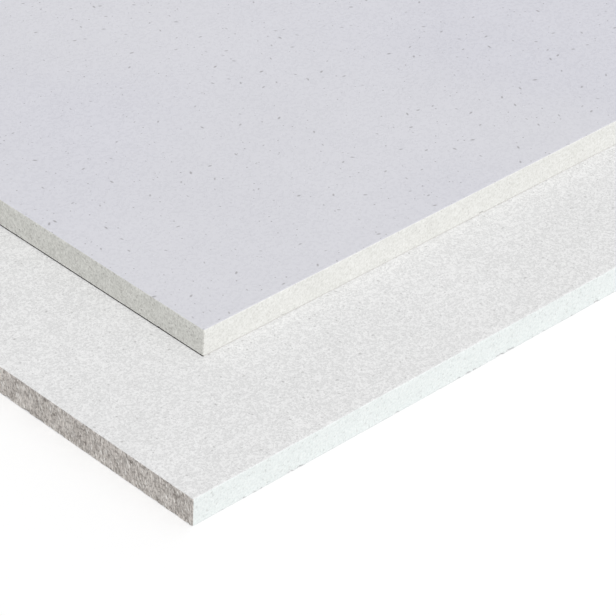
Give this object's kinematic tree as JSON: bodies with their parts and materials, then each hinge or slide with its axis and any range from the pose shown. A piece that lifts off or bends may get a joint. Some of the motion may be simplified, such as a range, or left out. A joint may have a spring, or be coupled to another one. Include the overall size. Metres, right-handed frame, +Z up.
{
  "type": "gypsum fibre floor board",
  "caption": "Gypsum fibre floor board of two flat layers bonded with an offset, giving a stepped edge all round that laps onto the next board.",
  "frame": {"origin": "centre of the footprint that both layers cover together, on the face that lies on the floor", "axes": "+Z up, out of the walking face; +X along the long side, towards the end where the upper layer overhangs; +Y across, towards the side where it overhangs"},
  "size_m": [1.55, 0.55, 0.02],
  "materials": {
    "lower_board": "matte",
    "upper_board": "matte"
  },
  "bodies": {
    "root": {"lower_board": "lower_board", "upper_board": "upper_board"}
  },
  "joints": []
}
